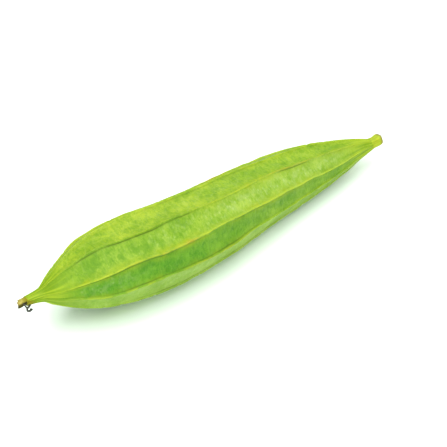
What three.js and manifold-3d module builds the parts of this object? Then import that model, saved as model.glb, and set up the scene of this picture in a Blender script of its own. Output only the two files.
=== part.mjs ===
// A ridge gourd (Luffa acutangula), picked and lying on its side.
// Millimetres, +Z up. The blossom end points along -X and the stalk end along +X.
// Angles round the fruit start at the side that faces -Y and rise over the top.

import * as THREE from 'three';
import { mergeVertices } from 'three/addons/utils/BufferGeometryUtils.js';
import Module from 'manifold-3d';

const { clamp, degToRad, lerp, smoothstep } = THREE.MathUtils;
const FULL_TURN = 2 * Math.PI;

// ---------------------------------------------------------------- dimensions

// Clearance between pieces that touch on the real fruit.
const GAP = 0.3;

// The fruit rocks on its belly until it balances, with its stalk end low.
const REST_PITCH = degToRad(3.2);

// The two ends of the fruit, along X.
const NECK_END = -132.7;
const STALK_END = 131.5;

// Places along the fruit: distance along X, sideways bend along Y, radius over the ridges.
const FRUIT_STATIONS = [
  [NECK_END, 0.0, 3.0],
  [-129.0, 0.0, 3.2],
  [-123.0, -0.6, 4.6],
  [-117.0, -1.4, 9.2],
  [-108.0, -1.6, 14.7],
  [-92.0, -2.3, 22.3],
  [-70.0, -3.0, 25.7],
  [-40.0, -4.6, 26.3],
  [-5.0, -3.4, 24.6],
  [30.0, 0.2, 22.1],
  [60.0, 2.4, 19.6],
  [85.0, 2.2, 15.8],
  [105.0, 1.6, 11.5],
  [120.0, 1.4, 7.6],
  [STALK_END, 0.0, 4.1],
];
const RINGS_PER_STATION = 4;

// The blossom end nods: past this distance it bends aside and down, more and more.
const NOD_START = -60;
const NOD_SIDE = 4.2;
const NOD_DOWN = 4.7;

// Ten ridges, counted round from angle 0. Each row is how many degrees that ridge has
// strayed from its even place by the blossom end, in the middle, and by the stalk end.
const RIDGE_STRAY = [
  [-1, 0, -5],
  [-3, 0, -12],
  [11, 1, -6],
  [9, 7, -4],
  [1, 4, -9],
  [-5, 0, -9],
  [3, -2, -10],
  [1, 0, -9],
  [-2, 2, -9],
  [2, 0, -8],
];
const RIDGE_COUNT = RIDGE_STRAY.length;
const BLOSSOM_STRAY_FROM = -60;
const BLOSSOM_STRAY_TO = -104;
const STALK_STRAY_FROM = -10;
const STALK_STRAY_TO = 84;

// On the way each ridge wavers a little, in a slow wave along the fruit.
const WAVER_ANGLE = 1.2;
const WAVER_LENGTH = 74;
const WAVER_STEP = 2.4;

// Each ridge is a narrow rib that stands proud of two slightly hollow panels.
const RIB_HEIGHT = 0.85;
const RIB_FRACTION = 0.065;
const PANEL_DIP = 0.45;
const BOLD_RADIUS = 16;
const COLUMN_FRACTIONS = [0, RIB_FRACTION, 0.3, 0.5, 0.7, 1 - RIB_FRACTION];

// The stub of the stalk: distance past the end of the fruit, radius, and rise.
const STUB_STATIONS = [
  [GAP, 4.05, 0.0],
  [2.5, 3.85, 0.1],
  [5.0, 3.95, 0.4],
  [7.4, 4.15, 0.8],
  [8.2, 3.85, 0.9],
];
const STUB_COLUMNS = 24;
const STUB_RIBS = 5;
const STUB_RIB_SHARE = 0.05;

// The dried cup left by the flower. It joins the neck a little above the middle and droops
// from there. Its mouth slants, so its wall is longest at one angle and shortest opposite.
const CUP_COLUMNS = 24;
const CUP_BACK_RADIUS = 2.25;
const CUP_RIM_RADIUS = 2.45;
const CUP_WALL = 0.5;
const CUP_FLOOR_RADIUS = 1.2;
const CUP_FLOOR_DEPTH = 0.7;
const CUP_SHORT_REACH = 3.0;
const CUP_LONG_REACH = 5.9;
const CUP_LONG_ANGLE = degToRad(25);
const CUP_LIFT = 0.6;
const CUP_DROOP = 0.13;
const CUP_LOBES = 5;
const CUP_LOBE_REACH = 0.2;

// The dried thread: two roots beside the end of the neck that meet in one curled tail.
// Its points are measured from the middle of the neck's end.
const THREAD_RADIUS = 0.4;
const THREAD_SIDES = 8;
const THREAD_TAIL = [
  [-2.2, -3.0, 0.9],
  [-1.7, -3.6, -0.5],
  [-0.9, -3.3, -2.1],
  [-0.7, -2.9, -3.9],
  [-0.1, -2.6, -5.4],
  [0.9, -2.5, -6.1],
  [1.9, -2.5, -5.9],
  [2.1, -2.5, -5.1],
];
const THREAD_BRANCH = [
  [1.0, -3.8, -0.9],
  [0.2, -3.6, -1.4],
  [-0.8, -3.3, -2.3],
];
const STEPS_PER_THREAD_POINT = 3;

// ---------------------------------------------------------------- geometry

// A closed skin through a list of rings, each an equally long list of points. Each ring
// runs from -Y up over the top, and the rings follow one another towards +X. Each end is
// closed by a fan of triangles round the middle of its ring.
function loft(rings) {
  const columns = rings[0].length;
  const positions = rings.flat().flatMap((point) => point.toArray());
  const indices = [];
  for (let ring = 0; ring < rings.length - 1; ring += 1) {
    for (let column = 0; column < columns; column += 1) {
      const here = ring * columns + column;
      const beside = ring * columns + ((column + 1) % columns);
      indices.push(here, beside + columns, beside);
      indices.push(here, here + columns, beside + columns);
    }
  }
  const lastRing = (rings.length - 1) * columns;
  const startMiddle = rings.length * columns;
  const endMiddle = startMiddle + 1;
  positions.push(...middleOf(rings[0]).toArray(), ...middleOf(rings.at(-1)).toArray());
  for (let column = 0; column < columns; column += 1) {
    const next = (column + 1) % columns;
    indices.push(startMiddle, column, next);
    indices.push(endMiddle, lastRing + next, lastRing + column);
  }
  return indexedGeometry(positions, indices);
}

function indexedGeometry(positions, indices) {
  const geometry = new THREE.BufferGeometry();
  geometry.setAttribute('position', new THREE.Float32BufferAttribute(positions, 3));
  geometry.setIndex(indices);
  geometry.computeVertexNormals();
  return geometry;
}

function middleOf(points) {
  const sum = points.reduce((total, point) => total.add(point), new THREE.Vector3());
  return sum.divideScalar(points.length);
}

// A point at an angle and a radius round a centre, in the plane across X.
function pointRound(centre, angle, radius) {
  const across = new THREE.Vector3(0, -Math.cos(angle), Math.sin(angle));
  return across.multiplyScalar(radius).add(centre);
}

function evenAngles(count) {
  return Array.from({ length: count }, (_, step) => (FULL_TURN * step) / count);
}

// ---------------------------------------------------------------- fruit

// The middle of the fruit at a distance x, where its sideways bend is given.
function fruitMiddle(x, bend) {
  const nod = clamp((x - NOD_START) / (NECK_END - NOD_START), 0, 1) ** 2;
  return new THREE.Vector3(x, bend + NOD_SIDE * nod, -NOD_DOWN * nod);
}

// The angle of a ridge, in radians, where it passes the distance x.
function ridgeAngle(ridge, x) {
  const [blossomStray, middleStray, stalkStray] = RIDGE_STRAY[ridge % RIDGE_COUNT];
  const nearBlossom = smoothstep(-x, -BLOSSOM_STRAY_FROM, -BLOSSOM_STRAY_TO);
  const nearStalk = smoothstep(x, STALK_STRAY_FROM, STALK_STRAY_TO);
  const wave = Math.sin((FULL_TURN * x) / WAVER_LENGTH + WAVER_STEP * (ridge % RIDGE_COUNT));
  const stray = middleStray + WAVER_ANGLE * wave
    + (blossomStray - middleStray) * nearBlossom
    + (stalkStray - middleStray) * nearStalk;
  return (FULL_TURN * ridge) / RIDGE_COUNT + degToRad(stray);
}

// The radius part of the way across the panel between two ridges.
function sectionRadius(crestRadius, halfAngle, fraction) {
  const boldness = clamp(crestRadius / BOLD_RADIUS, 0, 1);
  const footRadius = crestRadius - RIB_HEIGHT * boldness;
  const flat = (footRadius * Math.cos(halfAngle)) / Math.cos(halfAngle * (2 * fraction - 1));
  const dip = PANEL_DIP * boldness * Math.sin(Math.PI * fraction) ** 2;
  const fromRidge = Math.min(fraction, 1 - fraction) / RIB_FRACTION;
  const rib = RIB_HEIGHT * boldness * (1 - Math.min(fromRidge, 1) ** 2) ** 2;
  return flat - dip + rib;
}

function fruitRing(middle, crestRadius) {
  const points = [];
  for (let ridge = 0; ridge < RIDGE_COUNT; ridge += 1) {
    const from = ridgeAngle(ridge, middle.x);
    const to = ridgeAngle(ridge + 1, middle.x);
    for (const fraction of COLUMN_FRACTIONS) {
      const radius = sectionRadius(crestRadius, (to - from) / 2, fraction);
      points.push(pointRound(middle, lerp(from, to, fraction), radius));
    }
  }
  return points;
}

function makeFruit() {
  const stations = FRUIT_STATIONS.map((station) => new THREE.Vector3(...station));
  const outline = new THREE.CatmullRomCurve3(stations, false, 'centripetal');
  const places = outline.getPoints((stations.length - 1) * RINGS_PER_STATION);
  return loft(places.map(({ x, y: bend, z: radius }) => fruitRing(fruitMiddle(x, bend), radius)));
}

// ---------------------------------------------------------------- stalk stub

function stubRing([distance, radius, rise]) {
  const middle = new THREE.Vector3(STALK_END + distance, 0, rise);
  return evenAngles(STUB_COLUMNS).map((angle) => {
    const rib = 1 + STUB_RIB_SHARE * Math.cos(STUB_RIBS * angle);
    return pointRound(middle, angle, radius * rib);
  });
}

function makeStalkStub() {
  return loft(STUB_STATIONS.map(stubRing));
}

// ---------------------------------------------------------------- blossom scar

// How far the cup's wall reaches out from its back, at an angle.
function cupReach(angle) {
  const towardsLong = (1 + Math.cos(angle - CUP_LONG_ANGLE)) / 2;
  const lobe = CUP_LOBE_REACH * Math.cos(CUP_LOBES * angle);
  return lerp(CUP_SHORT_REACH, CUP_LONG_REACH, towardsLong) + lobe;
}

// The skin starts in the middle of the hollow, comes out over the rim and ends at the back.
// Distances are measured from the middle of the neck's end.
function makeBlossomScar() {
  const ring = (radius, reach) => evenAngles(CUP_COLUMNS).map((angle) => {
    const distance = reach(angle);
    const middle = new THREE.Vector3(-GAP - distance, 0, CUP_LIFT - CUP_DROOP * distance);
    return pointRound(middle, angle, radius);
  });
  return loft([
    ring(CUP_FLOOR_RADIUS, () => CUP_FLOOR_DEPTH),
    ring(CUP_RIM_RADIUS - CUP_WALL, cupReach),
    ring(CUP_RIM_RADIUS, cupReach),
    ring(CUP_BACK_RADIUS, () => 0),
  ]);
}

// ---------------------------------------------------------------- dried thread

function makeStrand(points) {
  const path = new THREE.CatmullRomCurve3(points.map((point) => new THREE.Vector3(...point)));
  const section = new THREE.Shape();
  section.absarc(0, 0, THREAD_RADIUS, 0, FULL_TURN, false);
  return new THREE.ExtrudeGeometry(section, {
    steps: (points.length - 1) * STEPS_PER_THREAD_POINT,
    curveSegments: THREAD_SIDES / 2,
    extrudePath: path,
  });
}

function toSolid(geometry) {
  const bare = geometry.clone();
  bare.deleteAttribute('normal');
  bare.deleteAttribute('uv');
  const merged = mergeVertices(bare);
  return new wasm.Manifold(new wasm.Mesh({
    numProp: 3,
    vertProperties: new Float32Array(merged.attributes.position.array),
    triVerts: new Uint32Array(merged.index.array),
  }));
}

function makeDriedThread() {
  const [tail, branch] = [THREAD_TAIL, THREAD_BRANCH].map(makeStrand);
  const { vertProperties, triVerts } = toSolid(tail).add(toSolid(branch)).getMesh();
  return indexedGeometry(Array.from(vertProperties), Array.from(triVerts));
}

// ---------------------------------------------------------------- assembly

function piece(name, geometry, color, roughness) {
  const material = new THREE.MeshStandardMaterial({ color, roughness, metalness: 0 });
  const mesh = new THREE.Mesh(geometry, material);
  mesh.name = name;
  return mesh;
}

// What hangs on the end of the neck keeps its own origin in the middle of that end.
function makeBlossomEnd() {
  const end = new THREE.Group();
  end.position.copy(fruitMiddle(NECK_END, 0));
  end.add(
    piece('blossom_scar', makeBlossomScar(), 0x7d5c2c, 0.85),
    piece('dried_thread', makeDriedThread(), 0x4b4a3a, 0.9),
  );
  return end;
}

// Moves the lying gourd until the middle of its box is over the origin and it rests on z = 0.
function restOnOrigin(lying) {
  const box = new THREE.Box3().setFromObject(lying, true);
  const middle = box.getCenter(new THREE.Vector3());
  lying.position.set(-middle.x, -middle.y, -box.min.z);
}

const wasm = await Module();
wasm.setup();

const lying = new THREE.Group();
lying.rotation.y = REST_PITCH;
lying.add(
  piece('fruit', makeFruit(), 0x8fbf3a, 0.5),
  piece('stalk_stub', makeStalkStub(), 0xc9de4e, 0.6),
  makeBlossomEnd(),
);
restOnOrigin(lying);

const gourd = new THREE.Group();
gourd.add(lying);

export default gourd;
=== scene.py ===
"""The looks of a ridge gourd that lies on a plain pale floor.

Shapes are worked out in millimetres on a level gourd, and laid_down tips them to the rest
pitch and turns them into metres. The materials, floor, lights and camera are in metres.
The shape rules below repeat the CAD's own, and the finer detail is added to them. The CAD's
fruit sets where the whole gourd lies. Angles round the fruit start at the side that faces
-Y and rise over the top.
"""
import math

import bpy
import numpy as np
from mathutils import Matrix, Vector


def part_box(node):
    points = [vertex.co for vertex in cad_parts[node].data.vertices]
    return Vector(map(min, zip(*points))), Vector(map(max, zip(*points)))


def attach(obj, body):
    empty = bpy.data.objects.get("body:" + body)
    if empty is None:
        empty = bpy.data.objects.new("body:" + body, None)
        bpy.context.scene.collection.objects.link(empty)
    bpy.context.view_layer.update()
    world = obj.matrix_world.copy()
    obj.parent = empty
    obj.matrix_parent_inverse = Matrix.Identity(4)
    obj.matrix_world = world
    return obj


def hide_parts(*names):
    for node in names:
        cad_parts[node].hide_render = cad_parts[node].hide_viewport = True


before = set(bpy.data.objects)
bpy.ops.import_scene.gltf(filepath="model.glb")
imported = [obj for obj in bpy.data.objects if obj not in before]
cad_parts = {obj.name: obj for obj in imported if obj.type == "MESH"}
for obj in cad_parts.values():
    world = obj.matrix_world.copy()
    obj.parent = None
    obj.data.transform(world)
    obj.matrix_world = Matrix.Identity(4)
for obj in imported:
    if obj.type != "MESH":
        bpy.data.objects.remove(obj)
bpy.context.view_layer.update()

MM = 0.001
FULL_TURN = 2 * math.pi

# ------------------------------------------------------------------ dimensions of the CAD

REST_PITCH = math.radians(3.2)
NECK_END_MM = -132.7
STALK_END_MM = 131.5

# Distance along X, sideways bend along Y, radius over the ridges.
FRUIT_STATIONS_MM = [
    (NECK_END_MM, 0.0, 3.0),
    (-129.0, 0.0, 3.2),
    (-123.0, -0.6, 4.6),
    (-117.0, -1.4, 9.2),
    (-108.0, -1.6, 14.7),
    (-92.0, -2.3, 22.3),
    (-70.0, -3.0, 25.7),
    (-40.0, -4.6, 26.3),
    (-5.0, -3.4, 24.6),
    (30.0, 0.2, 22.1),
    (60.0, 2.4, 19.6),
    (85.0, 2.2, 15.8),
    (105.0, 1.6, 11.5),
    (120.0, 1.4, 7.6),
    (STALK_END_MM, 0.0, 4.1),
]

# The blossom end nods aside and down.
NOD_START_MM = -60.0
NOD_SIDE_MM = 4.2
NOD_DOWN_MM = 4.7

# How many degrees each ridge strays from its even place by the blossom end, in the middle,
# and by the stalk end.
RIDGE_STRAY = [
    (-1, 0, -5),
    (-3, 0, -12),
    (11, 1, -6),
    (9, 7, -4),
    (1, 4, -9),
    (-5, 0, -9),
    (3, -2, -10),
    (1, 0, -9),
    (-2, 2, -9),
    (2, 0, -8),
]
RIDGES = len(RIDGE_STRAY)
BLOSSOM_STRAY_FROM_MM = -60.0
BLOSSOM_STRAY_TO_MM = -104.0
STALK_STRAY_FROM_MM = -10.0
STALK_STRAY_TO_MM = 84.0

# On the way each ridge wavers a little: by how many degrees, the length of the wave, and
# how far the wave is shifted from one ridge to the next.
WAVER_ANGLE = 1.2
WAVER_LENGTH_MM = 74.0
WAVER_STEP = 2.4

# Each ridge is a narrow rib that stands proud of two slightly hollow panels.
RIB_HEIGHT_MM = 0.85
RIB_FRACTION = 0.065
PANEL_DIP_MM = 0.45
BOLD_RADIUS_MM = 16.0

# The stub of the stalk: distance past the end of the fruit, radius, and rise.
STUB_STATIONS_MM = [
    (-1.2, 3.6, 0.0),
    (0.0, 4.05, 0.0),
    (2.5, 3.85, 0.1),
    (5.0, 3.95, 0.4),
    (7.4, 4.15, 0.8),
    (8.1, 3.85, 0.9),
]
STUB_RIBS = 5
STUB_RIB_SHARE = 0.05

# The cup left by the flower. It joins the neck a little above the middle and droops from
# there. Its mouth slants, so its wall is longest at one angle and shortest opposite.
CUP_BACK_RADIUS_MM = 2.25
CUP_RIM_RADIUS_MM = 2.45
CUP_FLOOR_DEPTH_MM = 0.7
CUP_SHORT_REACH_MM = 3.0
CUP_LONG_REACH_MM = 5.9
CUP_LONG_ANGLE = math.radians(25)
CUP_LIFT_MM = 0.6
CUP_DROOP = 0.13

# The dried thread, measured from the middle of the neck's end.
THREAD_TAIL_MM = [
    (-2.2, -1.9, 1.2),
    (-2.2, -3.0, 0.9),
    (-1.7, -3.6, -0.5),
    (-0.9, -3.3, -2.1),
    (-0.7, -2.9, -3.9),
    (-0.1, -2.6, -5.4),
    (0.9, -2.5, -6.1),
    (1.9, -2.5, -5.9),
    (2.1, -2.5, -5.1),
]
THREAD_BRANCH_MM = [
    (1.3, -2.2, -0.7),
    (1.0, -3.4, -0.9),
    (0.2, -3.6, -1.4),
    (-0.8, -3.3, -2.3),
]

# ------------------------------------------------------------------ finer detail

# How finely the skin is made. Columns crowd together towards each ridge, and the seam of
# the UV map runs along a panel underneath.
FRUIT_RINGS = 400
COLUMNS_PER_PANEL = 24
CROWDING = 0.8
SEAM_PANEL = 8

# The bare fruit that is compared with the CAD's needs fewer rings.
BARE_RINGS = 200

# How many steps the curve of the outline takes between two stations.
OUTLINE_STEPS = 40

# How far each ridge wiggles to either side. Where the fruit is thinner than the least
# radius, the wiggle is as wide an angle as it would be there.
WIGGLE_MM = 0.35
WIGGLE_LEAST_RADIUS_MM = 5.0

# How much of its height a ridge gains where it swells, and loses where it is nicked.
SWELL_SHARE = 0.22
NICK_SHARE = 0.4

# The shallow furrow beside each ridge. Its place and width are shares of a panel.
FURROW_MM = 0.10
FURROW_PLACE = 0.08
FURROW_WIDTH = 0.022

# How far the golden flank of a ridge spreads, as a share of a panel.
FLANK_WIDTH = 0.2

# How uneven the skin is between the ridges, from broad swells down to fine wrinkles.
BROAD_MM = 0.30
MIDDLING_MM = 0.13
WRINKLE_MM = 0.055

# Where the neck and the stalk end turn to their own colours, and where each panel and ridge
# drifts from its look by the blossom end to its look by the stalk end.
NECK_FROM_MM = -100.0
NECK_TO_MM = -124.0
STALK_GREEN_FROM_MM = 92.0
STALK_GREEN_TO_MM = 128.0
DRIFT_FROM_MM = -50.0
DRIFT_TO_MM = 30.0


def smooth_step(value, low, high):
    share = np.clip((value - low) / (high - low), 0.0, 1.0)
    return share * share * (3.0 - 2.0 * share)


def bell(value, middle, width):
    return np.exp(-(((value - middle) / width) ** 2))


def smooth_path(points, steps):
    """A centripetal Catmull-Rom curve through points, with this many steps to each span."""
    points = np.asarray(points, dtype=float)
    before = 2 * points[0] - points[1]
    after = 2 * points[-1] - points[-2]
    padded = np.vstack([before, points, after])
    gaps = np.linalg.norm(np.diff(padded, axis=0), axis=1) ** 0.5
    share = (np.arange(steps) / steps)[:, None]
    spans = []
    for i in range(len(points) - 1):
        start, end = padded[i + 1], padded[i + 2]
        gap_in, gap, gap_out = gaps[i], gaps[i + 1], gaps[i + 2]
        leave = (start - padded[i]) / gap_in - (end - padded[i]) / (gap_in + gap)
        leave = (leave + (end - start) / gap) * gap
        arrive = (end - start) / gap - (padded[i + 3] - start) / (gap + gap_out)
        arrive = (arrive + (padded[i + 3] - end) / gap_out) * gap
        square = 3 * (end - start) - 2 * leave - arrive
        cube = 2 * (start - end) + leave + arrive
        spans.append(start + leave * share + square * share**2 + cube * share**3)
    return np.vstack(spans + [points[-1:]])


def value_noise(along, around, around_cells, seed):
    """Smooth noise from -1 to 1. It changes once each unit of along, and it closes up
    after around_cells cells as around goes from 0 to 1."""
    along, around = np.broadcast_arrays(along, around)
    rows = int(np.ceil(along.max() - along.min())) + 2
    lattice = np.random.default_rng(seed).uniform(-1, 1, (rows, around_cells))
    place = along - along.min()
    row = np.floor(place).astype(int)
    column = np.floor(around * around_cells).astype(int)
    down = smooth_step(place - row, 0, 1)
    across = smooth_step(around * around_cells - column, 0, 1)
    here, beside = column % around_cells, (column + 1) % around_cells
    near = lattice[row, here] * (1 - across) + lattice[row, beside] * across
    far = lattice[row + 1, here] * (1 - across) + lattice[row + 1, beside] * across
    return near * (1 - down) + far * down


# ------------------------------------------------------------------ meshes


def laid_down(points_mm):
    """Points of the level gourd, in millimetres, tipped to the rest pitch, in metres."""
    x, y, z = np.moveaxis(np.asarray(points_mm) * MM, -1, 0)
    turn_cos, turn_sin = math.cos(REST_PITCH), math.sin(REST_PITCH)
    return np.stack([x * turn_cos + z * turn_sin, y, z * turn_cos - x * turn_sin], axis=-1)


def loft(name, rings, seam=0, **marks):
    """A closed mesh through rings of points, an array of ring, column and xyz. Each mark is
    a value for every ring and column, kept as an attribute of the mesh for its material."""
    ring_count, columns, _ = rings.shape
    middles = [rings[0].mean(axis=0), rings[-1].mean(axis=0)]
    points = np.vstack([rings.reshape(-1, 3), middles])
    first_middle = ring_count * columns
    faces, corners = [], []
    u_of = np.linspace(0.01, 0.99, ring_count)
    for ring in range(ring_count - 1):
        for column in range(columns):
            here = ring * columns + column
            beside = ring * columns + (column + 1) % columns
            v_low = ((column - seam) % columns) / columns
            v_high = v_low + 1 / columns
            faces.append((here, here + columns, beside + columns, beside))
            corners += [(u_of[ring], v_low), (u_of[ring + 1], v_low)]
            corners += [(u_of[ring + 1], v_high), (u_of[ring], v_high)]
    last = (ring_count - 1) * columns
    for column in range(columns):
        beside = (column + 1) % columns
        v_low = ((column - seam) % columns) / columns
        v_high = v_low + 1 / columns
        faces.append((first_middle, column, beside))
        corners += [(0.0, v_low), (u_of[0], v_low), (u_of[0], v_high)]
        faces.append((first_middle + 1, last + beside, last + column))
        corners += [(1.0, v_high), (u_of[-1], v_high), (u_of[-1], v_low)]
    mesh = bpy.data.meshes.new(name)
    mesh.from_pydata(points.tolist(), [], faces)
    mesh.uv_layers.new(name="OFBake").data.foreach_set("uv", np.ravel(corners))
    for mark, values in marks.items():
        values = np.broadcast_to(values, (ring_count, columns))
        ends = [values[0].mean(), values[-1].mean()]
        layer = mesh.attributes.new(mark, "FLOAT", "POINT")
        layer.data.foreach_set("value", np.append(values.ravel(), ends).astype(np.float32))
    mesh.shade_smooth()
    piece = bpy.data.objects.new(name, mesh)
    bpy.context.collection.objects.link(piece)
    return piece


def round_x(middle_mm, angle, radius_mm):
    """Points at these angles and radii round a middle, in the plane across X."""
    across = np.stack([np.zeros_like(angle), -np.cos(angle), np.sin(angle)], axis=-1)
    return middle_mm + across * np.asarray(radius_mm)[..., None]


# ------------------------------------------------------------------ fruit


def fruit_outline(x):
    """The sideways bend and the ridge radius at each distance x, in millimetres."""
    outline = smooth_path(FRUIT_STATIONS_MM, OUTLINE_STEPS)
    bend = np.interp(x, outline[:, 0], outline[:, 1])
    radius = np.interp(x, outline[:, 0], outline[:, 2])
    return bend, radius


def fruit_middle(x, bend):
    """The middle of the fruit, in millimetres, as an array of points."""
    nod = np.clip((x - NOD_START_MM) / (NECK_END_MM - NOD_START_MM), 0, 1) ** 2
    return np.stack([x, bend + NOD_SIDE_MM * nod, -NOD_DOWN_MM * nod], axis=-1)


def ridge_angle(ridge, x):
    blossom_stray, middle_stray, stalk_stray = RIDGE_STRAY[ridge % RIDGES]
    near_blossom = smooth_step(-x, -BLOSSOM_STRAY_FROM_MM, -BLOSSOM_STRAY_TO_MM)
    near_stalk = smooth_step(x, STALK_STRAY_FROM_MM, STALK_STRAY_TO_MM)
    wave = np.sin(FULL_TURN * x / WAVER_LENGTH_MM + WAVER_STEP * (ridge % RIDGES))
    stray = middle_stray + WAVER_ANGLE * wave
    stray = stray + (blossom_stray - middle_stray) * near_blossom
    stray = stray + (stalk_stray - middle_stray) * near_stalk
    return FULL_TURN * ridge / RIDGES + np.radians(stray)


class Skin:
    """The lattice of the skin: for every ring and column its place on the fruit."""

    def __init__(self, rings, wiggle_mm=0.0):
        even = np.arange(COLUMNS_PER_PANEL) / COLUMNS_PER_PANEL
        crowded = even - CROWDING * np.sin(FULL_TURN * even) / FULL_TURN
        self.x = np.linspace(NECK_END_MM, STALK_END_MM, rings)[:, None]
        self.ridge = np.repeat(np.arange(RIDGES), COLUMNS_PER_PANEL)[None, :]
        self.fraction = np.tile(crowded, RIDGES)[None, :]
        self.near = np.minimum(self.fraction, 1 - self.fraction)
        self.nearest = (self.ridge + (self.fraction > 0.5)) % RIDGES
        self.around = (self.ridge + self.fraction) / RIDGES
        self.bend, self.crest = fruit_outline(self.x)
        self.bold = np.clip(self.crest / BOLD_RADIUS_MM, 0, 1)
        edges = np.hstack([ridge_angle(k, self.x) for k in range(RIDGES + 1)])
        radius = np.maximum(self.crest, WIGGLE_LEAST_RADIUS_MM)
        edges = edges + self.ridge_wiggle() * wiggle_mm / radius
        start, end = edges[:, self.ridge[0]], edges[:, self.ridge[0] + 1]
        self.angle = start + (end - start) * self.fraction
        self.half = (end - start) / 2

    def ridge_wiggle(self):
        places = np.arange(RIDGES)[None, :] / RIDGES
        wiggle = value_noise(self.x / 11, places, RIDGES, seed=11)
        wiggle += 0.5 * value_noise(self.x / 4.5, places, RIDGES, seed=12)
        return np.hstack([wiggle, wiggle[:, :1]])

    def rib(self):
        return (1 - np.minimum(self.near / RIB_FRACTION, 1) ** 2) ** 2 * np.ones_like(self.x)

    def panel_radius(self):
        foot = self.crest - RIB_HEIGHT_MM * self.bold
        flat = foot * np.cos(self.half) / np.cos(self.half * (2 * self.fraction - 1))
        return flat - PANEL_DIP_MM * self.bold * np.sin(math.pi * self.fraction) ** 2

    def points(self, radius):
        middle = fruit_middle(self.x, self.bend)
        return laid_down(round_x(middle, self.angle, radius))

    def ridge_noise(self, length, seed):
        """Noise that differs from ridge to ridge and changes along them."""
        return value_noise(self.x / length, self.nearest / RIDGES, RIDGES, seed)

    def noise(self, length, cells, seed, slant=0.0):
        return value_noise(self.x / length + slant, self.around, cells, seed)


def find_shift():
    """How far the laid down gourd has to move to lie where the CAD fruit lies."""
    skin = Skin(BARE_RINGS)
    bare = skin.points(skin.panel_radius() + RIB_HEIGHT_MM * skin.bold * skin.rib())
    lowest = bare.reshape(-1, 3).min(axis=0)
    return np.array(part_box("fruit")[0]) - lowest


SHIFT = find_shift()

# How deep a green each panel has by the blossom end, and by the stalk end. Panels are
# counted from the ridge at angle 0. The deeper green is partly the skin's own and partly
# painted shade, most of all on panel 0, which faces away from the light.
PANEL_DEPTH_AND_SHADE = [
    (1.0, 0.6),
    (0.42, 0.0),
    (0.0, 0.25),
    (0.1, 0.2),
    (0.5, 0.3),
    (0.7, 0.5),
    (0.8, 0.6),
    (0.6, 0.6),
    (0.5, 0.5),
    (0.5, 0.3),
]

# How pale each panel is by the blossom end, and by the stalk end. On the lowest panels,
# all along, the paleness is painted light: the bounce and reflection of the pale floor
# that they face.
PANEL_PALENESS_AND_FLOOR_BOUNCE = [
    (0.0, 0.1),
    (0.07, 0.57),
    (0.0, 0.0),
    (0.0, 0.1),
    (0.1, 0.0),
    (0.0, 0.2),
    (0.1, 0.3),
    (0.5, 0.5),
    (0.9, 0.7),
    (0.85, 0.9),
]

# How golden each ridge is by the blossom end, and by the stalk end.
RIDGE_GOLD = [
    (0.8, 0.5),
    (1.0, 0.9),
    (0.25, 0.9),
    (0.6, 0.7),
    (0.9, 0.8),
    (0.5, 0.8),
    (0.9, 0.6),
    (0.7, 0.9),
    (0.8, 0.8),
    (0.2, 0.4),
]

# Where a ridge is worn low: the ridge, middle along X, half length, and the share lost.
LOW_STRETCHES = [
    (2, 6, 32, 0.7),
    (2, -95, 30, 0.3),
    (1, -40, 14, 0.4),
    (1, 20, 25, 0.25),
    (4, -30, 25, 0.4),
    (6, 40, 35, 0.5),
    (8, -20, 30, 0.4),
]

# The line beside a ridge, a shallow groove whose dark colour is painted shade: the ridge,
# the side of it that faces up (1) or down (-1) seen from -Y, where it starts and ends
# along X, and its strength.
GROOVE_AND_SHADE_LINES = [
    (2, -1, -112, -20, 1.0),
    (2, -1, -16, 30, 0.2),
    (2, -1, 38, 74, 0.7),
    (1, -1, -112, -22, 0.8),
    (1, -1, -10, 90, 0.45),
    (0, 1, -100, 20, 0.6),
    (3, -1, -60, 40, 0.3),
    (4, 1, -105, 60, 0.7),
    (5, 1, -90, -10, 0.6),
    (6, 1, -80, 50, 0.5),
    (9, 1, -70, 70, 0.4),
]
LINE_PLACE = 0.06
LINE_WIDTH = 0.02
LINE_FADE_MM = 14.0

# How far the brown of the tip reaches all round, how much further it reaches on one side,
# and the angle by which that side is turned down from -Y.
TIP_BROWN_MM = 0.5
TIP_BROWN_MORE_MM = 4.0
TIP_BROWN_TURN = 0.3

# Russet blushes on ridges: ridge, middle along X, half length, half width as a share of a
# panel, and strength.
BLUSHES = [
    (1, -37, 4, 0.06, 0.75),
    (1, -60, 20, 0.03, 0.35),
    (2, 54, 14, 0.03, 0.6),
    (0, -20, 30, 0.02, 0.35),
    (4, 10, 9, 0.06, 0.7),
    (6, -50, 16, 0.04, 0.5),
    (8, 40, 8, 0.06, 0.6),
]

# Where pale mottles cluster: the panel, middle along X, half length and strength.
MOTTLE_PATCHES = [
    (1, 60, 50, 1.0),
    (1, 0, 25, 0.8),
    (1, -50, 22, 0.5),
    (2, -10, 60, 0.3),
    (0, -92, 20, 0.7),
    (0, 35, 25, 0.3),
    (9, -30, 60, 0.8),
    (3, 20, 60, 0.4),
    (5, -20, 40, 0.6),
    (7, 10, 50, 0.5),
]

# Where darker green blotches cluster, given in the same way.
DEEP_PATCHES = [
    (1, -88, 20, 1.0),
    (1, -60, 14, 0.5),
    (2, 92, 16, 0.6),
    (3, -70, 30, 0.5),
    (4, 70, 30, 0.6),
    (6, -90, 25, 0.8),
    (8, 60, 30, 0.5),
]


def groove_and_shade_lines(skin):
    """Where the lines of groove and painted shade run beside the ridges, from 0 to 1."""
    total = np.zeros(skin.angle.shape)
    for ridge, side, start, end, strength in GROOVE_AND_SHADE_LINES:
        panel = (ridge if side > 0 else ridge - 1) % RIDGES
        from_ridge = skin.fraction if side > 0 else 1 - skin.fraction
        here = (skin.ridge == panel) * bell(from_ridge, LINE_PLACE, LINE_WIDTH)
        inside = smooth_step(skin.x, start, start + LINE_FADE_MM)
        inside = inside * smooth_step(-skin.x, -end, LINE_FADE_MM - end)
        total += strength * here * inside
    return np.clip(total * (1 + 0.45 * skin.ridge_noise(length=9, seed=31)), 0, 1)


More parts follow.
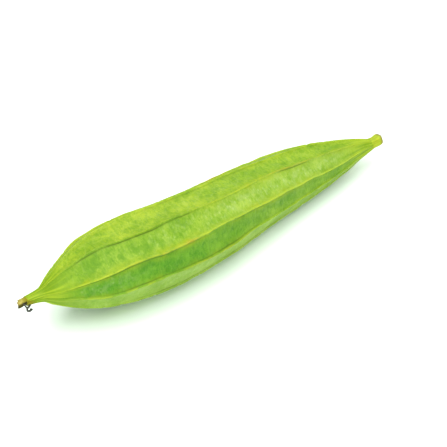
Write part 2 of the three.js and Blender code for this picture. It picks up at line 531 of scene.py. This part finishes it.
def from_end_to_end(skin, pairs, pick):
    """A value for each panel or ridge that drifts from its first number to its second."""
    blossom, stalk = np.array(pairs).T
    share = smooth_step(skin.x, DRIFT_FROM_MM, DRIFT_TO_MM)
    return blossom[pick] * (1 - share) + stalk[pick] * share


def worn_low(skin):
    total = np.zeros(skin.angle.shape)
    for ridge, middle, length, share in LOW_STRETCHES:
        total += share * (skin.nearest == ridge) * bell(skin.x, middle, length)
    return np.clip(total, 0, 1)


def blushes(skin):
    total = np.zeros(skin.angle.shape)
    for ridge, middle, length, width, strength in BLUSHES:
        on_ridge = (skin.nearest == ridge) * bell(skin.near, 0.0, width)
        total += strength * on_ridge * bell(skin.x, middle, length)
    return np.clip(total, 0, 1)


def patches(skin, rows):
    total = np.zeros(skin.angle.shape)
    across = np.sin(math.pi * skin.fraction)
    for panel, middle, length, strength in rows:
        total += strength * (skin.ridge == panel) * across * bell(skin.x, middle, length)
    return np.clip(total, 0, 1)


def brown_tip(skin):
    """The neck browns at its very end, and further along on the side that faces -Y."""
    one_side = np.maximum(np.cos(skin.angle + TIP_BROWN_TURN), 0) ** 2
    reach = TIP_BROWN_MM + TIP_BROWN_MORE_MM * one_side
    return smooth_step(NECK_END_MM + reach - skin.x, -0.5 * reach, 0.5 * reach)


def make_fruit():
    skin = Skin(FRUIT_RINGS, WIGGLE_MM)
    rib = skin.rib()
    swell = skin.ridge_noise(length=7, seed=13)
    nick = smooth_step(skin.ridge_noise(length=3.2, seed=14), 0.55, 0.95)
    height = 1 + SWELL_SHARE * swell - NICK_SHARE * nick
    rib_mm = RIB_HEIGHT_MM * rib * height * (1 - worn_low(skin))
    furrow = bell(skin.near, FURROW_PLACE, FURROW_WIDTH) * np.ones_like(skin.x)

    # The skin between the ridges is uneven, and finely wrinkled across the fruit.
    broad = skin.noise(length=24, cells=20, seed=21)
    middling = skin.noise(length=6.5, cells=40, seed=22)
    wrinkle = skin.noise(length=1.7, cells=30, seed=23, slant=1.3 * broad)
    wrinkle += 0.6 * skin.noise(length=2.6, cells=60, seed=24)
    uneven = BROAD_MM * broad + MIDDLING_MM * middling + WRINKLE_MM * wrinkle * (1 - rib)
    groove_and_shade = groove_and_shade_lines(skin)
    detail = rib_mm + uneven - FURROW_MM * (furrow + groove_and_shade)
    points = skin.points(skin.panel_radius() + skin.bold * detail) + SHIFT
    points[..., 2] = np.maximum(points[..., 2], 0.0)

    gold = from_end_to_end(skin, RIDGE_GOLD, skin.nearest)
    flank = bell(skin.near, 0.0, FLANK_WIDTH) * gold
    marks = {
        "rib": rib * gold,
        "groove_shade": groove_and_shade,
        "flank": flank * (1 + 0.5 * skin.ridge_noise(length=17, seed=32)),
        "depth": from_end_to_end(skin, PANEL_DEPTH_AND_SHADE, skin.ridge),
        "pale_and_floor_bounce": from_end_to_end(skin, PANEL_PALENESS_AND_FLOOR_BOUNCE, skin.ridge),
        "blush": blushes(skin),
        "mottle": patches(skin, MOTTLE_PATCHES),
        "deep_patch": patches(skin, DEEP_PATCHES),
        "streak": 0.5 + 0.5 * skin.noise(length=16, cells=70, seed=25),
        "neck": smooth_step(-skin.x, -NECK_FROM_MM, -NECK_TO_MM),
        "tip": brown_tip(skin),
        "stalk_end": smooth_step(skin.x, STALK_GREEN_FROM_MM, STALK_GREEN_TO_MM),
    }
    return loft("ridged_fruit", points, SEAM_PANEL * COLUMNS_PER_PANEL, **marks)


# ------------------------------------------------------------------ stalk stub

STUB_COLUMNS = 96
STUB_STEPS = 6
STUB_FIBRES = 24
STUB_FIBRE_MM = 0.05
STUB_FINE_FIBRES = 41
STUB_FINE_FIBRE_MM = 0.035
STUB_ROUGHNESS_MM = 0.02

# The cut face: how far out each of its rings lies, and how rough and hollow it is.
CUT_SHARES = [0.97, 0.9, 0.75, 0.55, 0.35, 0.15]
CUT_ROUGHNESS_MM = 0.09
CUT_HOLLOW_MM = 0.25


def make_stalk():
    angle = np.arange(STUB_COLUMNS) * FULL_TURN / STUB_COLUMNS
    outline = smooth_path(STUB_STATIONS_MM, STUB_STEPS)
    end_mm, end_radius_mm, end_rise_mm = STUB_STATIONS_MM[-1]
    spots = np.random.default_rng(41)
    fibres = STUB_FIBRE_MM * np.cos(STUB_FIBRES * angle + 1)
    fibres = fibres + STUB_FINE_FIBRE_MM * np.cos(STUB_FINE_FIBRES * angle)
    rings, cut_mark, along_mark = [], [], []
    for distance, radius, rise in outline:
        rib = 1 + STUB_RIB_SHARE * np.cos(STUB_RIBS * angle)
        rough = STUB_ROUGHNESS_MM * spots.uniform(-1, 1, STUB_COLUMNS)
        middle = np.array([STALK_END_MM + distance, 0.0, rise])
        rings.append(round_x(middle, angle, radius * rib + fibres + rough))
        cut_mark.append(0.0)
        along_mark.append(distance / end_mm)
    for share in CUT_SHARES:
        radius = end_radius_mm * share * (1 + STUB_RIB_SHARE * np.cos(STUB_RIBS * angle))
        ring = round_x(np.array([STALK_END_MM + end_mm, 0.0, end_rise_mm]), angle, radius)
        hollow = CUT_HOLLOW_MM * (1 - share**2)
        ring[:, 0] += CUT_ROUGHNESS_MM * spots.uniform(-1, 1, STUB_COLUMNS) - hollow
        rings.append(ring)
        cut_mark.append(1.0)
        along_mark.append(1.0)
    marks = {"cut": np.array(cut_mark)[:, None], "reach": np.array(along_mark)[:, None]}
    return loft("cut_stalk", laid_down(np.array(rings)) + SHIFT, STUB_COLUMNS // 2, **marks)


# ------------------------------------------------------------------ blossom end

CUP_COLUMNS = 96
CUP_FLOOR_SHARES = [0.3, 0.6, 0.85]
CUP_RIM_SHARES = [0.25, 0.5, 0.75, 0.9]
CUP_WALL_MM = 0.5
CUP_ROOT_MM = 1.0
CUP_ROOT_STEP_MM = 0.25
CUP_GREEN_MM = 2.4
CUP_FLOOR_ROUGHNESS_MM = 0.15

# The mouth has lobes, and between them it is ragged and frayed. Each of the three changes
# how far the wall reaches, and crinkles it.
CUP_LOBES = 5
CUP_LOBE_MM = 0.2
CUP_RAGGED_MM = 0.14
CUP_FRAYED_MM = 0.1
CRINKLE_LOBE_MM = 0.12
CRINKLE_RAGGED_MM = 0.07
CRINKLE_FRAYED_MM = 0.05
LIP_CRINKLE = 1.3
LIP_INNER_MM = 0.1
LIP_OUTER_MM = 0.12


def neck_end():
    return fruit_middle(np.array(NECK_END_MM), np.array(0.0))


def make_cup():
    angle = np.arange(CUP_COLUMNS) * FULL_TURN / CUP_COLUMNS
    around = angle[None, :] / FULL_TURN
    lobes = np.cos(CUP_LOBES * angle)
    ragged = value_noise(np.array([[0.0]]), around, 17, seed=51)[0]
    frayed = value_noise(np.array([[0.0]]), around, 43, seed=52)[0]
    towards_long = (1 + np.cos(angle - CUP_LONG_ANGLE)) / 2
    reach = CUP_SHORT_REACH_MM + (CUP_LONG_REACH_MM - CUP_SHORT_REACH_MM) * towards_long
    reach = reach + CUP_LOBE_MM * lobes + CUP_RAGGED_MM * ragged + CUP_FRAYED_MM * frayed
    crinkle = CRINKLE_LOBE_MM * lobes + CRINKLE_RAGGED_MM * ragged + CRINKLE_FRAYED_MM * frayed
    rings, inside, rim = [], [], []

    def add_ring(radius, distance, inside_share, rim_share):
        middle = neck_end() + np.array([0.0, 0.0, CUP_LIFT_MM])
        slope = np.array([1.0, 0.0, CUP_DROOP])
        distance = np.broadcast_to(distance, angle.shape)
        rings.append(round_x(middle, angle, radius) - slope * distance[:, None])
        inside.append(inside_share)
        rim.append(rim_share)

    # From the middle of the hollow out to the rim, over it, and along the outside to the root.
    inner = CUP_RIM_RADIUS_MM - CUP_WALL_MM
    for share in CUP_FLOOR_SHARES:
        depth = CUP_FLOOR_DEPTH_MM + CUP_FLOOR_ROUGHNESS_MM * ragged * share
        add_ring(inner * share * (0.9 + crinkle * share), depth, 1.0, 0.0)
    for share in CUP_RIM_SHARES:
        depth = CUP_FLOOR_DEPTH_MM + (reach - CUP_FLOOR_DEPTH_MM) * share
        add_ring(inner * (0.88 + 0.12 * share) + crinkle * (0.4 + share), depth, 1.0, share)
    add_ring(inner + LIP_INNER_MM + crinkle * LIP_CRINKLE, reach, 0.5, 1.0)
    add_ring(CUP_RIM_RADIUS_MM - LIP_OUTER_MM + crinkle * LIP_CRINKLE, reach, 0.0, 1.0)
    for share in reversed(CUP_RIM_SHARES):
        radius = CUP_BACK_RADIUS_MM + (CUP_RIM_RADIUS_MM - CUP_BACK_RADIUS_MM) * share
        add_ring(radius + crinkle * share, reach * share, 0.0, share)
    add_ring(CUP_BACK_RADIUS_MM, 0.0, 0.0, 0.0)
    add_ring(CUP_BACK_RADIUS_MM - CUP_ROOT_STEP_MM, -CUP_ROOT_MM, 0.0, 0.0)

    rings, inside, rim = np.array(rings), np.array(inside)[:, None], np.array(rim)[:, None]
    past_neck = neck_end()[0] - rings[..., 0]
    marks = {
        "inside": inside,
        "rim": rim,
        "root": (1 - inside) * smooth_step(-past_neck, -CUP_GREEN_MM, -0.3 * CUP_GREEN_MM),
        # One side of the cup's outside is marked for painted shade.
        "painted_shade_side": smooth_step(np.cos(angle + 0.2) + 0.1 * ragged, 0.5, 0.8)[None, :],
    }
    return loft("calyx_cup", laid_down(rings) + SHIFT, CUP_COLUMNS // 4, **marks)


THREAD_SIDES = 14
THREAD_STEPS = 14
THREAD_ROOT_MM = 0.38
THREAD_END_MM = 0.64
THREAD_LUMP_SHARE = 0.12
THREAD_WAVE_SHARE = 0.1

# The tail ends in a small knob. Its place and width are shares of the way along the tail.
KNOB_MM = 0.22
KNOB_PLACE = 0.96
KNOB_WIDTH = 0.045


def make_strand(name, points_mm, knob_mm):
    path = smooth_path(points_mm, THREAD_STEPS)
    tangents = np.gradient(path, axis=0)
    tangents /= np.linalg.norm(tangents, axis=1)[:, None]
    side = np.cross(tangents[0], (0.0, 0.0, 1.0))
    turn = np.arange(THREAD_SIDES) * FULL_TURN / THREAD_SIDES
    lumps = np.random.default_rng(len(points_mm)).uniform(-1, 1, (len(path), THREAD_SIDES))
    rings = []
    for i, (point, tangent) in enumerate(zip(path, tangents)):
        side = side - tangent * side.dot(tangent)
        side = side / np.linalg.norm(side)
        other = np.cross(tangent, side)
        share = i / (len(path) - 1)
        radius = THREAD_ROOT_MM + (THREAD_END_MM - THREAD_ROOT_MM) * share
        wave = THREAD_WAVE_SHARE * math.sin(i * 1.1)
        radius = radius * (1 + THREAD_LUMP_SHARE * lumps[i] + wave)
        radius = radius + knob_mm * bell(share, KNOB_PLACE, KNOB_WIDTH)
        ring = np.outer(np.cos(turn) * radius, side) - np.outer(np.sin(turn) * radius, other)
        rings.append(neck_end() + point + ring)
    return loft(name, laid_down(np.array(rings)) + SHIFT)


def make_thread():
    tail = make_strand("withered_thread", THREAD_TAIL_MM, KNOB_MM)
    branch = make_strand("branch", THREAD_BRANCH_MM, 0.0)
    both = {"active_object": tail, "selected_editable_objects": [tail, branch]}
    with bpy.context.temp_override(**both):
        bpy.ops.object.join()
    return tail


# ------------------------------------------------------------------ materials


def colour(code):
    """A hex colour as linear red, green and blue, with full alpha."""
    parts = [int(code[i : i + 2], 16) / 255 for i in (0, 2, 4)]
    linear = [p / 12.92 if p <= 0.04045 else ((p + 0.055) / 1.055) ** 2.4 for p in parts]
    return (*linear, 1.0)


class Shader:
    """A node material, with short ways to add to it."""

    def __init__(self, name):
        self.material = bpy.data.materials.new(name)
        self.material.use_nodes = True
        self.nodes = self.material.node_tree.nodes
        self.links = self.material.node_tree.links
        self.surface = self.nodes["Principled BSDF"]
        self.place = self.nodes.new("ShaderNodeTexCoord").outputs["Object"]

    def join(self, value, socket):
        if isinstance(value, bpy.types.NodeSocket):
            self.links.new(value, socket)
        else:
            socket.default_value = value

    def add(self, kind, inputs, output=0, **settings):
        node = self.nodes.new(kind)
        for name, value in settings.items():
            setattr(node, name, value)
        for name, value in inputs.items():
            self.join(value, node.inputs[name])
        return node.outputs[output]

    def mark(self, name):
        return self.add("ShaderNodeAttribute", {}, "Fac", attribute_name=name)

    def math(self, way, first, second):
        return self.add("ShaderNodeMath", {0: first, 1: second}, operation=way)

    def grid(self, cells, offset=0.0):
        """The place on the object, counted in cells to the metre along X, Y and Z."""
        inputs = {0: self.place, 1: cells, 2: (offset, 0.7 * offset, 0.4 * offset)}
        return self.add("ShaderNodeVectorMath", inputs, operation="MULTIPLY_ADD")

    def noise(self, cells, offset=0.0, detail=3.0, rough=0.55, warp=0.0):
        inputs = {"Vector": self.grid(cells, offset), "Scale": 1.0, "Detail": detail}
        inputs.update({"Roughness": rough, "Distortion": warp})
        return self.add("ShaderNodeTexNoise", inputs)

    def cells(self, cells, feature, output, offset=0.0, warp=None):
        place = self.grid(cells, offset)
        if warp is not None:
            place = self.add("ShaderNodeVectorMath", {0: place, 1: warp}, operation="ADD")
        inputs = {"Vector": place, "Scale": 1.0}
        return self.add("ShaderNodeTexVoronoi", inputs, output, feature=feature)

    def spread(self, value, low, high, to_low=0.0, to_high=1.0):
        """Value from low to high becomes to_low to to_high, smoothly, and is held there."""
        inputs = {"Value": value, "From Min": low, "From Max": high}
        inputs.update({"To Min": to_low, "To Max": to_high})
        return self.add("ShaderNodeMapRange", inputs, interpolation_type="SMOOTHSTEP")

    def total(self, *shares):
        """The sum of some values, each of which is given after its weight."""
        so_far = 0.0
        for weight, value in shares:
            so_far = self.math("ADD", so_far, self.math("MULTIPLY", value, weight))
        return so_far

    def tint(self, base, share, tone, low, high, dark, light):
        """Base multiplied by dark where tone is low, and by light where it is high."""
        factors = self.mix(self.spread(tone, low, high), (*dark, 1.0), (*light, 1.0))
        return self.mix(share, base, factors, "MULTIPLY")

    def mix(self, share, first, second, way="MIX"):
        inputs = {0: share, 6: first, 7: second}
        return self.add("ShaderNodeMix", inputs, 2, data_type="RGBA", blend_type=way)

    def bump(self, height, distance, strength=1.0, under=None):
        inputs = {"Height": height, "Distance": distance, "Strength": strength}
        if under is not None:
            inputs["Normal"] = under
        return self.add("ShaderNodeBump", inputs)

    def finish(self, base, roughness, normal, **constants):
        self.join(base, self.surface.inputs["Base Color"])
        self.join(roughness, self.surface.inputs["Roughness"])
        self.join(normal, self.surface.inputs["Normal"])
        for name, value in constants.items():
            self.surface.inputs[name.replace("_", " ")].default_value = value
        return self.material


def skin_material():
    s = Shader("gourd_skin")
    rib, groove_shade, neck, streak = s.mark("rib"), s.mark("groove_shade"), s.mark("neck"), s.mark("streak")
    pale_and_floor_bounce, depth, mottle = s.mark("pale_and_floor_bounce"), s.mark("depth"), s.mark("mottle")
    patch = s.noise((60, 90, 90), detail=5, rough=0.6, warp=0.5)
    blotch = s.noise((210, 190, 190), offset=13, detail=3, rough=0.6, warp=0.6)
    wrinkle = s.noise((780, 210, 210), offset=3, detail=4, rough=0.6, warp=0.8)
    fleck = s.noise((620, 520, 520), offset=41, detail=3, rough=0.6, warp=1.2)
    grain = s.noise((1900, 1900, 1900), offset=5, detail=2)

    # The ground colour drifts from leaf green to lime, and is deeper on some panels, partly as
    # painted shade.
    drift = s.spread(patch, 0.32, 0.68)
    base = s.mix(drift, colour("789818"), colour("84a11f"))
    # Deeper green: partly the skin's own, partly painted shade on panels that face away from the
    # light.
    base = s.mix(depth, base, s.mix(drift, colour("4e8713"), colour("5a8e17")))
    # Paler on some panels; on the lowest panels this paleness is painted floor bounce and
    # reflection.
    base = s.mix(pale_and_floor_bounce, base, s.mix(drift, colour("84a436"), colour("90b046")))

    # Blotches, fine wrinkles across the fruit and small flecks make its green uneven.
    kept_when_pale = s.spread(pale_and_floor_bounce, 0.0, 1.0, 1.0, 0.6)
    kept_on_neck = s.spread(neck, 0.0, 1.0, 1.0, 0.3)
    strength = s.math("MULTIPLY", kept_when_pale, kept_on_neck)
    tone = s.total((0.3, blotch), (0.35, wrinkle), (0.35, fleck))
    base = s.tint(base, strength, patch, 0.34, 0.64, (0.84, 0.92, 0.75), (1.06, 1.03, 1.1))
    base = s.tint(base, strength, tone, 0.39, 0.6, (0.72, 0.84, 0.55), (1.26, 1.14, 1.6))
    bent = s.mix(0.5, s.noise((130, 130, 130), offset=17), (0.5, 0.5, 0.5, 1.0))
    vein = s.cells((190, 120, 120), "DISTANCE_TO_EDGE", "Distance", offset=2, warp=bent)
    vein_line = s.spread(vein, 0.0, 0.07, 1.0, 0.0)
    vein_share = s.math("MULTIPLY", vein_line, s.spread(depth, 0.0, 1.0, 0.15, 0.06))
    base = s.mix(vein_share, base, colour("a2b956"))

    # Deep blotches, pale mottles and specks cluster here and there.
    spot = s.noise((260, 190, 190), offset=23, detail=3, rough=0.6)
    blotched = s.math("MULTIPLY", s.spread(spot, 0.56, 0.36), s.mark("deep_patch"))
    base = s.mix(s.math("MULTIPLY", blotched, 0.8), base, colour("558510"))
    mottled = s.math("MULTIPLY", s.spread(spot, 0.42, 0.66), mottle)
    base = s.mix(s.math("MULTIPLY", mottled, 0.33), base, colour("a0b66a"))
    speck = s.cells((460, 330, 330), "F1", "Distance", offset=29)
    specked = s.math("MULTIPLY", s.spread(speck, 0.42, 0.16), s.spread(spot, 0.36, 0.56))
    speck_share = s.math("MULTIPLY", specked, s.spread(mottle, 0.0, 1.0, 0.04, 0.3))
    base = s.mix(speck_share, base, colour("afc47c"))

    # The ridges are yellower, most of all on their crests, with russet blushes. The brighter
    # crest colour is partly the ridges' own yellow and partly a painted highlight.
    broken = s.noise((150, 260, 260), offset=31, detail=3)
    flank = s.math("MULTIPLY", s.mark("flank"), s.spread(broken, 0.35, 0.65, 0.15, 0.6))
    base = s.mix(flank, base, colour("8fa00e"))
    # The crest colour is the ridge's own yellow and a painted highlight.
    crest = s.math("MULTIPLY", s.math("POWER", rib, 1.6), s.spread(broken, 0.36, 0.58, 0.25, 0.9))
    base = s.mix(crest, base, colour("a0b330"))
    # A dark line of painted shade beside some ridges.
    base = s.mix(s.math("MULTIPLY", groove_shade, 0.95), base, colour("486305"))
    rust = s.math("MULTIPLY", s.mark("blush"), s.spread(broken, 0.3, 0.6, 0.35, 0.8))
    base = s.mix(rust, base, colour("a07a22"))

    # Both ends are a vivid yellow-green with lengthwise streaks. The neck browns at its end.
    vivid = s.mix(s.spread(streak, 0.25, 0.75), colour("6c8c06"), colour("9cb120"))
    base = s.mix(s.math("MULTIPLY", neck, 0.9), base, vivid)
    base = s.mix(s.math("MULTIPLY", s.mark("stalk_end"), 0.85), base, vivid)
    base = s.mix(s.math("MULTIPLY", s.mark("tip"), 0.85), base, colour("827a0a"))

    end_ribbing = s.math("MULTIPLY", streak, neck)
    uneven = s.total((1.0, wrinkle), (0.5, blotch), (0.4, fleck), (0.15, vein_line))
    height = s.math("ADD", uneven, end_ribbing)
    normal = s.bump(grain, 0.00008, 0.4, s.bump(height, 0.00035, 0.7))
    roughness = s.spread(s.total((1.0, wrinkle), (0.5, patch)), 0.5, 1.0, 0.46, 0.62)
    return s.finish(
        base,
        roughness,
        normal,
        IOR=1.38,
        Specular_IOR_Level=0.3,
        Subsurface_Weight=0.12,
        Subsurface_Radius=(1.0, 1.2, 0.4),
        Subsurface_Scale=0.0025,
    )


def stalk_material():
    s = Shader("stalk")
    fibre = s.noise((70, 1500, 1500), detail=3)
    patch = s.noise((260, 260, 260), offset=4)
    cut, reach = s.mark("cut"), s.mark("reach")
    base = s.mix(s.spread(fibre, 0.35, 0.65), colour("889d12"), colour("a2b424"))
    base = s.mix(s.spread(patch, 0.5, 0.75, 0, 0.4), base, colour("738f13"))
    rim = s.math("MULTIPLY", s.spread(reach, 0.66, 0.96), s.spread(patch, 0.3, 0.6, 0.6, 1.0))
    base = s.mix(rim, base, colour("747030"))
    pith = s.cells((1500, 1500, 1500), "F1", "Distance")
    face = s.mix(s.spread(pith, 0.15, 0.45), colour("55481e"), colour("a09b6a"))
    base = s.mix(cut, base, face)
    height = s.math("ADD", fibre, s.math("MULTIPLY", s.math("MULTIPLY", pith, cut), 1.5))
    normal = s.bump(height, 0.0003, 0.7)
    roughness = s.spread(fibre, 0.3, 0.7, 0.5, 0.75)
    return s.finish(base, roughness, normal, Specular_IOR_Level=0.3, Subsurface_Weight=0.1)


def cup_material():
    s = Shader("dried_calyx")
    fibre = s.noise((500, 1600, 1600), detail=4, rough=0.65)
    patch = s.noise((420, 420, 420), offset=6, detail=3)
    base = s.mix(s.spread(patch, 0.35, 0.65), colour("968b34"), colour("b0a656"))
    base = s.mix(s.spread(fibre, 0.48, 0.7, 0, 0.6), base, colour("76641a"))
    base = s.mix(s.spread(s.mark("rim"), 0.75, 1.0, 0, 0.5), base, colour("765646"))
    base = s.mix(s.mark("root"), base, colour("807a0a"))
    # The hollow's dark brown is painted shade; it is also painted as shade over one side of the
    # outside.
    dark = s.mix(s.spread(fibre, 0.35, 0.7), colour("2a2702"), colour("4c460e"))
    base = s.mix(s.mark("inside"), base, dark)
    base = s.mix(s.mark("painted_shade_side"), base, dark)
    normal = s.bump(fibre, 0.0004, 0.9)
    roughness = s.spread(patch, 0.3, 0.7, 0.7, 0.95)
    return s.finish(base, roughness, normal, Specular_IOR_Level=0.3)


def thread_material():
    s = Shader("dried_thread")
    fibre = s.noise((1500, 1500, 1500), detail=3)
    base = s.mix(s.spread(fibre, 0.35, 0.65), colour("20211b"), colour("47463a"))
    normal = s.bump(fibre, 0.0002, 0.8)
    return s.finish(base, s.spread(fibre, 0.3, 0.7, 0.7, 0.95), normal)


def floor_material():
    s = Shader("floor")
    cloud = s.noise((6, 6, 6), detail=2)
    base = s.mix(s.spread(cloud, 0.3, 0.7), colour("ebf6ef"), colour("eef9f2"))
    normal = s.bump(s.noise((300, 300, 300)), 0.0001, 0.1)
    return s.finish(base, s.spread(cloud, 0.3, 0.7, 0.78, 0.84), normal)


# ------------------------------------------------------------------ the pieces

for make, material, slot, node in (
    (make_fruit, skin_material, "skin", "fruit"),
    (make_stalk, stalk_material, "stalk", "stalk_stub"),
    (make_cup, cup_material, "dried_calyx", "blossom_scar"),
    (make_thread, thread_material, "dried_thread", "dried_thread"),
):
    piece = make()
    piece.data.materials.append(material())
    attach(piece, "root")
    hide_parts(node)

# ------------------------------------------------------------------ floor, light, camera

FLOOR_WIDTH = 8.0
floor_mesh = bpy.data.meshes.new("floor")
half = FLOOR_WIDTH / 2
floor_corners = [(-half, -half, 0), (half, -half, 0), (half, half, 0), (-half, half, 0)]
floor_mesh.from_pydata(floor_corners, [], [(0, 1, 2, 3)])
floor_mesh.materials.append(floor_material())
floor = bpy.data.objects.new("floor", floor_mesh)
bpy.context.collection.objects.link(floor)


def face(thing, target):
    thing.rotation_euler = (Vector(target) - thing.location).to_track_quat("-Z", "Y").to_euler()


def add_softbox(name, place, width, watts, tint=(1.0, 1.0, 1.0)):
    light = bpy.data.lights.new(name, "AREA")
    light.shape = "SQUARE"
    light.size = width
    light.energy = watts
    light.color = tint
    lamp = bpy.data.objects.new(name, light)
    lamp.location = place
    bpy.context.collection.objects.link(lamp)
    face(lamp, (0, 0, 0))


add_softbox("key", (0.7, 0.9, 1.5), 1.2, 9, (1.0, 0.99, 0.96))
add_softbox("top", (-0.2, -0.2, 1.8), 2.2, 50)
add_softbox("fill", (-0.9, -1.3, 0.8), 1.4, 11, (0.93, 1.0, 0.95))

WORLD_STRENGTH = 0.5
world = bpy.data.worlds.new("studio")
world.use_nodes = True
background = world.node_tree.nodes["Background"]
background.inputs["Color"].default_value = (1.0, 1.0, 1.0, 1.0)
background.inputs["Strength"].default_value = WORLD_STRENGTH
bpy.context.scene.world = world

# The camera looks down at the gourd from beside its blossom end.
CAMERA_AZIMUTH = math.radians(-37.54)
CAMERA_ELEVATION = math.radians(42.0)
CAMERA_DISTANCE = 0.732
CAMERA_AIM = (-0.0025, -0.0074, 0.0254)
LENS_MM = 96.2
SENSOR_MM = 36.0

camera = bpy.data.objects.new("camera", bpy.data.cameras.new("camera"))
camera.data.lens = LENS_MM
camera.data.sensor_width = SENSOR_MM
camera.data.clip_start = 0.01
level = CAMERA_DISTANCE * math.cos(CAMERA_ELEVATION)
away = (
    level * math.sin(CAMERA_AZIMUTH),
    -level * math.cos(CAMERA_AZIMUTH),
    CAMERA_DISTANCE * math.sin(CAMERA_ELEVATION),
)
camera.location = Vector(CAMERA_AIM) + Vector(away)
face(camera, CAMERA_AIM)
bpy.context.collection.objects.link(camera)
bpy.context.scene.camera = camera
bpy.context.scene.view_settings.view_transform = "Standard"
